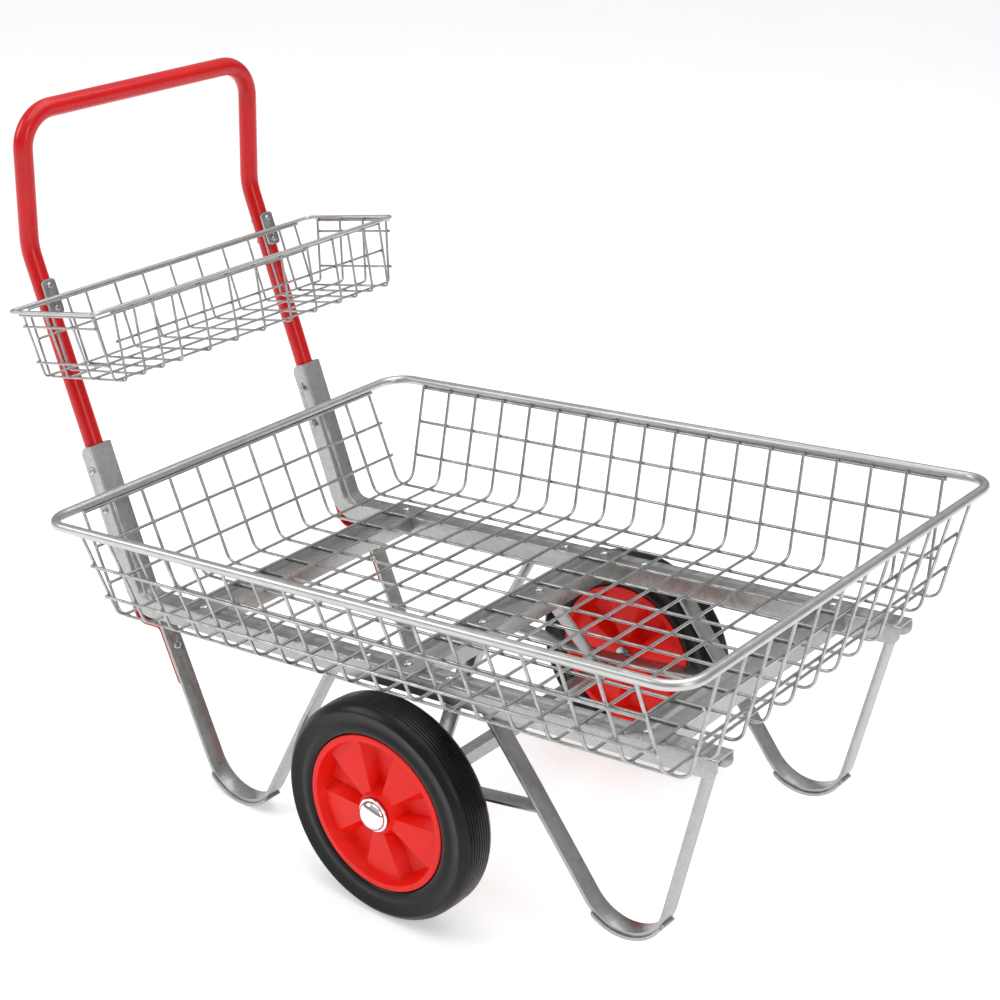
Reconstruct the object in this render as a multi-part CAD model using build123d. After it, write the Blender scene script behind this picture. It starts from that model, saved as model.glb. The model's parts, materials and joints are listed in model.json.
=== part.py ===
from build123d import *
from math import asin, atan2, cos, degrees, hypot, radians, sin, sqrt, tan
import os

# Two-wheeled wire basket cart with a push handle.
# Modelled level: rails horizontal, X = 0 at the axle, +X away from the handle, +Y to the left,
# Z = 0 at the underside of the leg shoes. place() then leans it back on its wheels and rear legs.

# Main basket
RIM_LENGTH = 978.0            # rim tube centre line, along X
RIM_WIDTH = 678.0             # rim tube centre line, along Y
RIM_TUBE = 12.5               # outside diameter
RIM_CORNER = 36.0             # centre line radius of the rim's corners
RIM_HEIGHT = 417.0
BASKET_X = 12.0               # basket centre, ahead of the axle
BASKET_SHIFT = -3.0           # the wires' centre, ahead of the basket's centre
BASKET_WIRE = 4.2
BASKET_MESH = 50.0
BASKET_ACROSS = 18            # wires that run across, spaced along X
BASKET_ALONG = 12             # wires that run along, spaced along Y
BASKET_LEAN = 18.0            # degrees the walls lean outward
BASKET_BEND = 20.0            # centre line radius where the floor turns up
BASKET_ROWS = dict.fromkeys(("left", "right", "front", "rear"), (40.0, 90.0))
                              # height of each wall's rows above the floor, measured up the wall
ROW_OVERHANG = 3.0            # how far a wall row runs past its outermost wires
FLAT_STUB = 1.0               # straight floor part of each bent-up wall wire

# Tool tray on the handle
TRAY_LENGTH = 166.0           # along X
TRAY_WIDTH = 554.0            # along Y
TRAY_DEPTH = 91.0
TRAY_RIM = 5.6
TRAY_CORNER = 9.0
TRAY_WIRE = 3.2
TRAY_ACROSS = 4               # wires that run across the cart
TRAY_PITCH = 45.0
TRAY_SHIFT = 6.0              # those wires' centre, ahead of the rim's centre
TRAY_WIDE = 7                 # wires that run fore and aft in the middle, at the basket's mesh
TRAY_CLOSE = 3                # closer wires beyond them on each side
TRAY_NARROW = 32.0            # their pitch
TRAY_LEAN = {"left": 9.5, "right": 9.5, "front": 1.0, "rear": 10.0}
TRAY_BEND = 6.0
TRAY_ROWS = {"left": (24.0, 74.0), "right": (24.0, 74.0), "front": (48.0,), "rear": (48.0,)}
TRAY_Z = 662.0                # height of the rear rim rod
TRAY_TILT = 5.4               # degrees, front edge up
PLATE = (47.0, 21.0, 3.0)     # tray plate height, width, thickness
PLATE_RISE = 2.0              # plate centre above the rim rod
PLATE_SCREWS = (17.0, -13.0)  # screws above and below the rim rod

# Side channels: each is a rail that turns up into the handle's socket
RAIL_TOP = 271.0
RAIL_Y = 201.0                # centre of each rail
CHANNEL_WIDTH = 34.0
CHANNEL_DEPTH = 25.0
CHANNEL_WALL = 2.5
CHANNEL_TURN = 18.0           # inside radius where the rail turns up
RAIL_FRONT = 453.0
SOCKET_X = -456.0             # where the rail's top line meets the socket's front line
SOCKET_TOP = 475.0
SLANT = 15.5                  # degrees the socket and the handle's lower legs lean back
SOCKET_BOLT_Z = (440.0, 387.0)
FRONT_ROUND = 15.0            # radius of the rail's lower front corners
SOCKET_ROUND = 12.0           # radius of the socket's upper rear corners
SECTION_ROUND = 2.0           # outside radius of the channel's folds

# Cross members
MEMBER_X = (-352.0, 0.0, 352.0)
MEMBER_WIDTH = 50.0
MEMBER_WALL = 3.0
MEMBER_DEPTH = 22.0
MEMBER_ROUND = 6.0            # corners of its end tabs
MEMBER_GAP = 0.5              # between its sides and the rails
BRACE_BOLT_Y = 58.0
BRACE_Y = (44.0, 68.0, 172.0, 186.0)   # ends and bends of a brace
BRACE_BEND = 9.0

# Legs: flat bar bent to a U, with a curved wear shoe under it
BAR_WIDTH = 25.0
BAR = 5.0
SHOE = 4.0
SHOE_WIDTH = 30.0
SHOE_SHORT = 14.0             # degrees of the leg's arc that each end of the shoe leaves bare
LEG_TURN = 62.0               # centre line radius of the leg's bottom
LEG_OUTER = (430.0, 238.0)    # a point on the outer strand
LEG_OUTER_LEAN = 18.2
LEG_KNEE = (181.0, 158.0)     # where the inner strand bends
LEG_INNER_LEAN = 32.5         # below the knee
LEG_UPPER_LEAN = 33.5         # above the knee
LEG_FOOT_BOLT = (352.0, 66.0) # bolt places of the outer and the inner foot
LEG_FOOT_END = 16.0           # how far each foot runs past its bolt
LEG_FOOT_BEND = 10.0
LEG_KNEE_BEND = 60.0
SHOE_ROUND = 7.0              # corners of the shoe

# Axle and its stays
AXLE_Z = 109.0
AXLE_R = 7.5
AXLE_END = 293.0
BEAM_WALL = 2.0
BEAM_END = 222.0
STAY_WIDTH = 24.0
STAY = 4.0
STAY_RISE = 4.2               # degrees
STAY_FLAT = 18.0              # half of its level middle
STAY_BEND = 60.0
BEAM_HEIGHT = 17.0

# Handle
HANDLE_TUBE = 25.0
HANDLE_WALL = 1.6
HANDLE_TOP = 905.0
HANDLE_BEND_Z = 730.0
HANDLE_UPPER_LEAN = 7.2       # degrees the upper part leans forward
HANDLE_CORNER = 48.0
HANDLE_BEND = 75.0
HANDLE_FOOT_Z = 292.0
TOE_BOTTOM = 150.0
TOE_START = (8.5, 4.5)        # its top, behind and below the tube's end
TOE_HEEL = 16.0               # how far its heel stands behind the tube's line
TOE_DROP = 14.0               # its level run, below the rail
TOE_BENDS = (16.0, 8.0)
TOE_BOLT_Z = 205.0

# Fasteners
BOLT_R = 3.0
BOLT_HEAD = 6.5
SOCKET_HEAD = 5.5
TOE_HEAD = 6.0
SCREW_R = 2.5
SCREW_HEAD = 4.5
WASHER = (14.0, 2.0, 0.4)     # axle washer's radius, thickness and gap from the hub
CAP = (22.0, 1.6, 19.0, 11.0) # hub cap's flange radius and thickness, dome radius and rise
CAP_SOCKET = 8.0              # how deep the axle's end sits in the cap

# Wheels
TYRE_R = 144.0
TYRE_WIDTH = 57.0
TYRE_INSIDE = 230.5           # |Y| of the tyre's inner side
HUB_R = 103.0
HUB_WIDTH = 50.0
HUB_RING = 7.0                # thickness of the hub's rim
HUB_WEB = 5.0
HUB_CHAMFER = 2.0
TYRE_SHOULDER = 13.0          # width of the rounded shoulder
TYRE_CROWN = 2.0              # how much lower the tread's edges are than its middle
GROOVES = (-12.5, -7.5, -2.5, 2.5, 7.5, 12.5)
GROOVE = (2.1, 1.3)           # depth and width of a tread groove
BOSS_R = 27.0
BUSH_R = 11.0
RUNNING = 0.05                # radial clearance on the axle
BUSH_LENGTH = 12.0
SECTORS = 5
SECTOR_HALF = 20.5            # degrees
SECTOR_DEPTH = 9.0            # below the hub's rim
SECTOR_TURN = {"left": 20.0, "right": 51.0}   # where the first sector stands at rest, from +X

SIDES = {"left": 1, "right": -1}
ENDS = {"front": 1, "rear": -1}
RAIL_UNDER = RAIL_TOP - CHANNEL_WALL
MEMBER_TOP = RAIL_TOP + MEMBER_WALL
FLOOR_Z = MEMBER_TOP + BASKET_WIRE + 0.03


def bent_path(points, radii):
    """Straight runs joined by tangent arcs, with one radius for each inner point."""
    edges = []
    start = Vector(*points[0])
    for before, corner, after, radius in zip(points, points[1:], points[2:], radii):
        corner = Vector(*corner)
        into = (corner - Vector(*before)).normalized()
        out = (Vector(*after) - corner).normalized()
        half_turn = radians(into.get_angle(out)) / 2
        reach = radius * tan(half_turn)
        middle = corner + (out - into).normalized() * (radius / cos(half_turn) - radius)
        edges.append(Line(start, corner - into * reach))
        edges.append(ThreePointArc(corner - into * reach, middle, corner + out * reach))
        start = corner + out * reach
    edges.append(Line(start, Vector(*points[-1])))
    return Wire(edges)


def along(path, section, x_dir=(0, 1, 0)):
    """A section carried along a path; the section's local X starts along x_dir."""
    start = Plane(origin=path @ 0, x_dir=x_dir, z_dir=path % 0)
    return sweep(start * section, path=path)


def rod(start, end, radius):
    """A straight round rod between two points."""
    run = Vector(*end) - Vector(*start)
    return Solid.make_cylinder(radius, run.length, Plane(origin=start, z_dir=run))


def flat_bar(points, radii, thickness, width):
    """A flat bar bent in the XZ plane, centred on Y = 0."""
    path = bent_path([(x, 0, z) for x, z in points], radii)
    return along(path, Rectangle(width, thickness))


def group(solids):
    """Separate solids kept together as one node."""
    return Compound(children=[piece for shape in solids for piece in shape.solids()])


def hole(at, direction, radius, length=60.0):
    """A drill, centred on a point."""
    step = Vector(*direction).normalized() * (length / 2)
    return rod(Vector(*at) - step, Vector(*at) + step, radius)


def bolt(at, direction, grip, radius=BOLT_R, head=BOLT_HEAD):
    """A round-head bolt and its nut; at is under the head and direction points out of the head."""
    out = Vector(*direction).normalized()
    base = Vector(*at)
    seat = Plane(origin=base, z_dir=out)
    dome_height = head * 0.55
    ball = (head ** 2 + dome_height ** 2) / (2 * dome_height)
    dome = seat * (Pos(0, 0, dome_height - ball) * Sphere(ball))
    cap = dome & Solid.make_cylinder(head, dome_height, seat)
    shank = rod(base + out * 0.5, base - out * (grip + 7.0), radius)
    nut_seat = Plane(origin=base - out * grip, z_dir=-out)
    nut = extrude(nut_seat * RegularPolygon(radius * 1.9, 6), radius * 1.5)
    return cap + shank + nut


# ---------------------------------------------------------------- wire baskets

def mesh_basket(length, width, depth, leans, wire, rim, corner, bend, x_places, y_places, rows):
    """Floor, four walls and rim of a welded basket; its rim lies in Z = 0 about the origin.

    The wires that run along X are the outer layer and the wires across are the inner layer.
    leans gives each wall's outward lean; x_places and y_places are where the wires stand.
    """
    r = wire / 2
    layer = r + 0.01
    half = {"left": width / 2, "right": width / 2, "front": length / 2, "rear": length / 2}

    def wall_line(name, offset):
        """Foot corner, direction, normal and rim meeting length of one layer of a wall."""
        lean = radians(leans[name])
        d = Vector(sin(lean), cos(lean))
        n = Vector(d.Y, -d.X)
        proud = layer + r / 2 if name in SIDES else r / 2
        u_foot = half[name] - proud - depth * tan(lean) + offset * (n.X - (1 - d.X) * tan(lean))
        foot = Vector(u_foot, -depth - offset)
        to_rim = Vector(half[name], 0) - foot
        return foot, d, to_rim.dot(d), abs(to_rim.dot(n))

    def wall_wire(name, offset):
        """One wire from under the rim down to its straight end on the floor, in XZ or YZ."""
        foot, d, s_rim, aside = wall_line(name, offset)
        s_end = s_rim - sqrt((rim / 2) ** 2 - max(0.0, aside - r) ** 2) - 0.2
        top = foot + d * s_end
        inner_end = foot.X - bend * tan(radians(90 - leans[name]) / 2) - FLAT_STUB
        points = [(top.X, top.Y), (foot.X, foot.Y), (inner_end, foot.Y)]
        if name in SIDES:
            path = bent_path([(0, SIDES[name] * u, z) for u, z in points], [bend])
            return along(path, Circle(r), (1, 0, 0)), inner_end
        path = bent_path([(ENDS[name] * u, 0, z) for u, z in points], [bend])
        return along(path, Circle(r)), inner_end

    def wall_rows(name, offset, places):
        """The straight rows of a wall, from a little before its first wire to past its last."""
        foot, d, s_rim, aside = wall_line(name, offset)
        s_top = s_rim - sqrt((rim / 2 + r) ** 2 - aside ** 2) - 0.05
        start = places[0] - ROW_OVERHANG
        end = places[-1] + ROW_OVERHANG
        lines = []
        for s in (*rows[name], s_top):
            at = foot + d * s
            if name in SIDES:
                u = SIDES[name] * at.X
                lines.append(rod((start, u, at.Y), (end, u, at.Y), r))
            else:
                u = ENDS[name] * at.X
                lines.append(rod((u, start, at.Y), (u, end, at.Y), r))
        return lines

    nodes = {}
    flat = {}
    for name in SIDES:
        turned, flat[name] = wall_wire(name, -layer)
        nodes["wall_" + name] = group([Pos(x, 0, 0) * turned for x in x_places]
                                      + wall_rows(name, layer, x_places))
    for name in ENDS:
        turned, flat[name] = wall_wire(name, layer)
        nodes["wall_" + name] = group([Pos(0, y, 0) * turned for y in y_places]
                                      + wall_rows(name, -layer, y_places))
    upper = -depth + layer
    lower = -depth - layer
    floor_across = [rod((x, -flat["right"], upper), (x, flat["left"], upper), r) for x in x_places]
    floor_along = [rod((-flat["rear"], y, lower), (flat["front"], y, lower), r) for y in y_places]
    nodes["floor"] = group(floor_across + floor_along)
    outline = RectangleRounded(length, width, corner).wire()
    nodes["rim"] = along(outline, Circle(rim / 2), (0, 0, 1))
    return nodes


def spread(count, pitch, centre=0.0):
    """Evenly spaced places about a centre."""
    return [centre + pitch * (i - (count - 1) / 2) for i in range(count)]


def main_basket():
    leans = dict.fromkeys((*SIDES, *ENDS), BASKET_LEAN)
    x_places = spread(BASKET_ACROSS, BASKET_MESH, BASKET_SHIFT)
    y_places = spread(BASKET_ALONG, BASKET_MESH)
    nodes = mesh_basket(RIM_LENGTH, RIM_WIDTH, RIM_HEIGHT - FLOOR_Z, leans, BASKET_WIRE, RIM_TUBE,
                        RIM_CORNER, BASKET_BEND, x_places, y_places, BASKET_ROWS)
    spot = Pos(BASKET_X, 0, RIM_HEIGHT)
    return {"basket_" + name: spot * shape for name, shape in nodes.items()}


def handle_axis_x(z):
    """X of the handle's lower centre line at a height."""
    behind = (CHANNEL_WALL + HANDLE_TUBE / 2 + 0.02) / cos(radians(SLANT))
    return SOCKET_X - behind - (z - RAIL_TOP) * tan(radians(SLANT))


def plate_frame():
    """Frame on the front of the handle tube at the tray's height; local Z points forward."""
    forward = Vector(cos(radians(SLANT)), 0, sin(radians(SLANT)))
    centre = Vector(handle_axis_x(TRAY_Z), 0, TRAY_Z) + forward * (HANDLE_TUBE / 2 + 0.02)
    return Plane(origin=centre, x_dir=(0, 1, 0), z_dir=forward)


def tool_tray():
    x_places = spread(TRAY_ACROSS, TRAY_PITCH, TRAY_SHIFT)
    middle = spread(TRAY_WIDE, BASKET_MESH)
    ends = [middle[-1] + TRAY_NARROW * (i + 1) for i in range(TRAY_CLOSE)]
    y_places = [-y for y in ends[::-1]] + middle + ends
    nodes = mesh_basket(TRAY_LENGTH, TRAY_WIDTH, TRAY_DEPTH, TRAY_LEAN, TRAY_WIRE, TRAY_RIM,
                        TRAY_CORNER, TRAY_BEND, x_places, y_places, TRAY_ROWS)
    frame = plate_frame()
    rear = frame.origin + frame.z_dir * (PLATE[2] + TRAY_RIM / 2 + 0.02)
    spot = Pos(rear.X, 0, rear.Z) * Rot(0, -TRAY_TILT, 0) * Pos(TRAY_LENGTH / 2, 0, 0)
    return {"tray_" + name: spot * shape for name, shape in nodes.items()}


def tray_plates():
    """Plates and screws that hold the tray's rear rim to the handle."""
    frame = plate_frame()
    height, width, wall = PLATE
    blank = Pos(0, PLATE_RISE, wall / 2) * Box(width, height, wall)
    blank = fillet(blank.edges().filter_by(Axis.Z), 5)
    nodes = {}
    screws = []
    for name, sign in SIDES.items():
        spot = Plane(origin=frame.origin + Vector(0, sign * RAIL_Y, 0), x_dir=frame.x_dir, z_dir=frame.z_dir)
        plate = spot * blank
        for step in PLATE_SCREWS:
            at = spot.origin + spot.y_dir * step + spot.z_dir * wall
            plate = plate - hole(at, spot.z_dir, SCREW_R)
            screws.append(bolt(at, spot.z_dir, wall + HANDLE_TUBE + 0.04, SCREW_R, SCREW_HEAD))
        nodes["tray_plate_" + name] = plate
    nodes["tray_screws"] = group(screws)
    return nodes


# ---------------------------------------------------------------- frame

def channel_section():
    half = CHANNEL_WIDTH / 2
    web = Pos(0, CHANNEL_WALL / 2) * Rectangle(CHANNEL_WIDTH, CHANNEL_WALL)
    flange = Rectangle(CHANNEL_WALL, CHANNEL_DEPTH)
    side = half - CHANNEL_WALL / 2
    profile = web + Pos(side, CHANNEL_DEPTH / 2) * flange + Pos(-side, CHANNEL_DEPTH / 2) * flange
    return fillet(profile.vertices().filter_by(lambda v: abs(v.Y) < 0.01), SECTION_ROUND)


def socket_point(z):
    """X of the socket's front line at a height."""
    return SOCKET_X - (z - RAIL_TOP) * tan(radians(SLANT))


def socket_bolt_point(z):
    """The handle's centre line, where a cross bolt passes."""
    return Vector(handle_axis_x(z), 0, z)


def side_channel():
    top = (socket_point(SOCKET_TOP), 0, SOCKET_TOP)
    path = bent_path([(RAIL_FRONT, 0, RAIL_TOP), (SOCKET_X, 0, RAIL_TOP), top], [CHANNEL_TURN])
    body = along(path, channel_section())
    body -= front_rounding()
    body -= top_rounding()
    for x in MEMBER_X:
        body -= hole((x, 0, RAIL_TOP), (0, 0, 1), BOLT_R)
    for x in (LEG_FOOT_BOLT[1], -LEG_FOOT_BOLT[1]):
        body -= hole((x, 0, RAIL_TOP), (0, 0, 1), BOLT_R)
    for z in SOCKET_BOLT_Z:
        body -= hole(socket_bolt_point(z), (0, 1, 0), BOLT_R)
    return body


def front_rounding():
    """Takes the lower front corners off the flanges."""
    size = FRONT_ROUND
    corner = Pos(RAIL_FRONT - size / 2, 0, RAIL_TOP - CHANNEL_DEPTH + size / 2) * Box(size, 60, size)
    turn = Pos(RAIL_FRONT - size, 0, RAIL_TOP - CHANNEL_DEPTH + size) * Rot(90, 0, 0) * Cylinder(size, 60)
    return corner - turn


def top_rounding():
    """Takes the upper rear corners off the socket's flanges."""
    size = SOCKET_ROUND
    spot = Pos(socket_point(SOCKET_TOP), 0, SOCKET_TOP) * Rot(0, -SLANT, 0)
    corner = Pos(-CHANNEL_DEPTH + size / 2, 0, -size / 2) * Box(size, 60, size)
    turn = Pos(-CHANNEL_DEPTH + size, 0, -size) * Rot(90, 0, 0) * Cylinder(size, 60)
    return spot * (corner - turn)


def side_channels():
    body = side_channel()
    return {"side_channel_" + name: Pos(0, sign * RAIL_Y, 0) * body for name, sign in SIDES.items()}


def cross_member():
    """Inverted channel across the cart, whose top runs on as a tab over each rail."""
    span = 2 * (RAIL_Y - CHANNEL_WIDTH / 2 - MEMBER_GAP)
    tab_span = 2 * (RAIL_Y + CHANNEL_WIDTH / 2)
    top = Pos(0, 0, MEMBER_TOP - MEMBER_WALL / 2) * Box(MEMBER_WIDTH, tab_span, MEMBER_WALL)
    top = fillet(top.edges().filter_by(Axis.Z), MEMBER_ROUND)
    side_x = MEMBER_WIDTH / 2 - MEMBER_WALL / 2
    for x in (side_x, -side_x):
        top += Pos(x, 0, MEMBER_TOP - MEMBER_DEPTH / 2) * Box(MEMBER_WALL, span, MEMBER_DEPTH)
    for sign in SIDES.values():
        top -= hole((0, sign * RAIL_Y, MEMBER_TOP), (0, 0, 1), BOLT_R)
    return top


def cross_members():
    body = cross_member()
    middle = body
    for sign in SIDES.values():
        middle = middle - hole((0, sign * BRACE_BOLT_Y, MEMBER_TOP), (0, 0, 1), BOLT_R)
    names = ("rear", "middle", "front")
    shapes = (body, middle, body)
    return {"cross_member_" + n: Pos(x, 0, 0) * s for n, s, x in zip(names, shapes, MEMBER_X)}


def leg_line():
    """Corner points of the front leg's centre line in XZ, from the outer foot to the inner foot."""
    foot_z = RAIL_UNDER - BAR / 2 - 0.01
    outer = tan(radians(LEG_OUTER_LEAN))
    inner = tan(radians(LEG_INNER_LEAN))
    upper = tan(radians(LEG_UPPER_LEAN))
    outer_x0 = LEG_OUTER[0] - LEG_OUTER[1] * outer
    inner_x0 = LEG_KNEE[0] + LEG_KNEE[1] * inner
    v_z = (inner_x0 - outer_x0) / (outer + inner)
    v_x = outer_x0 + v_z * outer
    shoulder_x = outer_x0 + foot_z * outer
    inner_top_x = LEG_KNEE[0] - (foot_z - LEG_KNEE[1]) * upper
    return [(LEG_FOOT_BOLT[0] - LEG_FOOT_END, foot_z), (shoulder_x, foot_z), (v_x, v_z), LEG_KNEE,
            (inner_top_x, foot_z), (LEG_FOOT_BOLT[1] - LEG_FOOT_END, foot_z)]


def leg_turn_centre():
    """Centre of the leg's bottom arc, measured from its two strands."""
    points = leg_line()
    v = Vector(*points[2])
    up_outer = (Vector(*points[1]) - v).normalized()
    up_inner = (Vector(*points[3]) - v).normalized()
    half = radians(up_outer.get_angle(up_inner)) / 2
    return v + (up_outer + up_inner).normalized() * (LEG_TURN / sin(half))


def toe_hole_point():
    """Where the toe's bolt crosses the outer strand, and the strand's outward normal."""
    lean = radians(LEG_OUTER_LEAN)
    x = LEG_OUTER[0] + (TOE_BOLT_Z - LEG_OUTER[1]) * tan(lean)
    return Vector(x, 0, TOE_BOLT_Z), Vector(cos(lean), 0, -sin(lean))


def legs_and_shoes():
    points = leg_line()
    bends = [LEG_FOOT_BEND, LEG_TURN, LEG_KNEE_BEND, LEG_FOOT_BEND]
    leg = flat_bar(points, bends, BAR, BAR_WIDTH)
    for x in LEG_FOOT_BOLT:
        leg -= hole((x, 0, RAIL_UNDER), (0, 0, 1), BOLT_R)
    rear_leg = leg
    at, normal = toe_hole_point()
    rear_leg = rear_leg - hole(at, normal, BOLT_R)
    centre = leg_turn_centre()
    outside = LEG_TURN + BAR / 2 + 0.01
    sector = shoe_sector(centre, outside)
    nodes = {}
    for side, sign in SIDES.items():
        y = sign * RAIL_Y
        nodes["leg_front_" + side] = Pos(0, y, 0) * leg
        nodes["leg_rear_" + side] = Pos(0, y, 0) * mirror(rear_leg, Plane.YZ)
        nodes["shoe_front_" + side] = Pos(0, y, 0) * sector
        nodes["shoe_rear_" + side] = Pos(0, y, 0) * mirror(sector, Plane.YZ)
    return nodes


def shoe_sector(centre, inside):
    """Curved strip under a leg's bottom, from low on the inner strand to higher on the outer."""
    middle = inside + SHOE / 2
    start = 180 + LEG_INNER_LEAN + SHOE_SHORT
    end = 360 - LEG_OUTER_LEAN - SHOE_SHORT

    def on_arc(angle):
        return (centre.X + middle * cos(radians(angle)), 0, centre.Y + middle * sin(radians(angle)))

    arc = Wire([ThreePointArc(on_arc(start), on_arc((start + end) / 2), on_arc(end))])
    strip = along(arc, Rectangle(SHOE_WIDTH, SHOE))
    return fillet(strip.edges().filter_by(lambda e: abs(e.length - SHOE) < 0.01), SHOE_ROUND)


def axle_parts():
    rod_body = rod((0, -AXLE_END, AXLE_Z), (0, AXLE_END, AXLE_Z), AXLE_R)
    rod_body = chamfer(rod_body.edges(), 1.0)
    inner_w = 2 * AXLE_R + 0.04
    outer_w = inner_w + 2 * BEAM_WALL
    top_z = AXLE_Z + AXLE_R + 0.02 + BEAM_WALL
    beam = Pos(0, 0, top_z - BEAM_HEIGHT / 2) * Box(outer_w, 2 * BEAM_END, BEAM_HEIGHT)
    beam -= Pos(0, 0, top_z - BEAM_WALL - BEAM_HEIGHT / 2) * Box(inner_w, 2 * BEAM_END + 2, BEAM_HEIGHT)
    return {"axle": rod_body, "axle_beam": beam}, top_z


def stays(beam_top):
    """Flat bars beside each wheel, from the rear leg over the axle beam to the front leg."""
    slope = tan(radians(STAY_RISE))
    low_z = beam_top + STAY / 2 + 0.02
    inner = tan(radians(LEG_INNER_LEAN))
    end_gap = (BAR / 2 + 0.1) / cos(radians(LEG_INNER_LEAN)) + STAY / 2 * inner
    knee_x, knee_z = LEG_KNEE
    strand_x0 = knee_x + (knee_z - low_z + STAY_FLAT * slope) * inner - end_gap
    x_end = strand_x0 / (1 + slope * inner)
    z_end = low_z + (x_end - STAY_FLAT) * slope
    points = [(-x_end, z_end), (-STAY_FLAT, low_z), (STAY_FLAT, low_z), (x_end, z_end)]
    bar = flat_bar(points, [STAY_BEND, STAY_BEND], STAY, STAY_WIDTH)
    return {"stay_" + name: Pos(0, sign * RAIL_Y, 0) * bar for name, sign in SIDES.items()}


def braces(beam_top):
    """Sloping flat bars from the middle cross member down to the axle beam."""
    high_z = MEMBER_TOP - MEMBER_WALL - STAY / 2 - 0.02
    low_z = beam_top + STAY / 2 + 0.02
    heights = (high_z, high_z, low_z, low_z)
    path = bent_path([(0, y, z) for y, z in zip(BRACE_Y, heights)], [BRACE_BEND, BRACE_BEND])
    bar = along(path, Rectangle(STAY_WIDTH, STAY), (1, 0, 0))
    bar -= hole((0, BRACE_BOLT_Y, high_z), (0, 0, 1), BOLT_R)
    return {"brace_left": bar, "brace_right": mirror(bar, Plane.XZ)}


# ---------------------------------------------------------------- handle

def handle():
    lean = radians(HANDLE_UPPER_LEAN)
    bend_x = handle_axis_x(HANDLE_BEND_Z)
    top_x = bend_x + (HANDLE_TOP - HANDLE_BEND_Z) * tan(lean)
    points = []
    for y in (-RAIL_Y, RAIL_Y):
        leg = [(handle_axis_x(HANDLE_FOOT_Z), y, HANDLE_FOOT_Z), (bend_x, y, HANDLE_BEND_Z),
               (top_x, y, HANDLE_TOP)]
        points += leg if y < 0 else leg[::-1]
    path = bent_path(points, [HANDLE_BEND, HANDLE_CORNER, HANDLE_CORNER, HANDLE_BEND])
    ring = Circle(HANDLE_TUBE / 2) - Circle(HANDLE_TUBE / 2 - HANDLE_WALL)
    tube = along(path, ring)
    frame = plate_frame()
    for y in (-RAIL_Y, RAIL_Y):
        for z in SOCKET_BOLT_Z:
            tube -= hole(socket_bolt_point(z) + Vector(0, y, 0), (0, 1, 0), BOLT_R)
        for step in PLATE_SCREWS:
            tube -= hole(frame.origin + Vector(0, y, 0) + frame.y_dir * step, frame.z_dir, SCREW_R, 70)
    return {"handle_tube": tube}


def toe_line():
    """Corner points of the handle's flattened toe, under the rail and down behind the rear leg."""
    lean = radians(LEG_OUTER_LEAN)
    behind = (BAR / 2 + STAY / 2 + 0.05) / cos(lean)
    under_z = RAIL_TOP - CHANNEL_DEPTH - TOE_DROP

    def leg_back_x(z):
        return -(LEG_OUTER[0] + (z - LEG_OUTER[1]) * tan(lean)) - behind
    heel_x = handle_axis_x(under_z) - TOE_HEEL
    start_x = handle_axis_x(HANDLE_FOOT_Z) - TOE_START[0]
    
    return [(start_x, HANDLE_FOOT_Z - TOE_START[1]), (heel_x, under_z), (leg_back_x(under_z), under_z),
            (leg_back_x(TOE_BOTTOM), TOE_BOTTOM)]


def toes():
    bar = flat_bar(toe_line(), TOE_BENDS, STAY, HANDLE_TUBE)
    at, normal = toe_hole_point()
    at = Vector(-at.X, 0, at.Z)
    bar -= hole(at, (-normal.X, 0, normal.Z), BOLT_R)
    return {"handle_toe_" + name: Pos(0, sign * RAIL_Y, 0) * bar for name, sign in SIDES.items()}


# ---------------------------------------------------------------- fasteners

def frame_bolts():
    """Upright bolts through the cross members, rails and leg feet."""
    bolts = []
    for sign in SIDES.values():
        y = sign * RAIL_Y
        for x in (MEMBER_X[0], MEMBER_X[2]):
            bolts.append(bolt((x, y, MEMBER_TOP), (0, 0, 1), MEMBER_WALL + CHANNEL_WALL + BAR + 0.02))
        bolts.append(bolt((0, y, MEMBER_TOP), (0, 0, 1), MEMBER_WALL + CHANNEL_WALL))
        for x in (LEG_FOOT_BOLT[1], -LEG_FOOT_BOLT[1]):
            bolts.append(bolt((x, y, RAIL_TOP), (0, 0, 1), CHANNEL_WALL + BAR + 0.02))
        bolts.append(bolt((0, sign * BRACE_BOLT_Y, MEMBER_TOP), (0, 0, 1), MEMBER_WALL + STAY + 0.04))
    return group(bolts)


def socket_bolts():
    """Cross bolts through each socket and the handle tube inside it."""
    bolts = []
    for sign in SIDES.values():
        for z in SOCKET_BOLT_Z:
            outer = socket_bolt_point(z) + Vector(0, sign * (RAIL_Y + CHANNEL_WIDTH / 2), 0)
            bolts.append(bolt(outer, (0, sign, 0), CHANNEL_WIDTH, BOLT_R, SOCKET_HEAD))
    return group(bolts)


def toe_bolts():
    at, normal = toe_hole_point()
    out = Vector(normal.X, 0, -normal.Z)
    bolts = []
    for sign in SIDES.values():
        head = Vector(-at.X, sign * RAIL_Y, at.Z) + out * (BAR / 2)
        bolts.append(bolt(head, out, BAR + STAY + 0.05, BOLT_R, TOE_HEAD))
    return group(bolts)


def axle_end_parts():
    """Washers beside each wheel and the domed cap over each axle end."""
    inner_y = TYRE_INSIDE + (TYRE_WIDTH - HUB_WIDTH) / 2
    outer_y = inner_y + HUB_WIDTH
    radius, thickness, gap = WASHER
    washers = []
    caps = []
    for sign in SIDES.values():
        for y in (inner_y - thickness - gap, outer_y + gap):
            seat = Plane(origin=(0, sign * y, AXLE_Z), z_dir=(0, sign, 0))
            flat = Solid.make_cylinder(radius, thickness, seat)
            washers.append(flat - hole((0, sign * y, AXLE_Z), (0, 1, 0), AXLE_R))
        caps.append(hub_cap(sign, outer_y + thickness + gap))
    return {"axle_washers": group(washers), "hub_caps": group(caps)}


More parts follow.
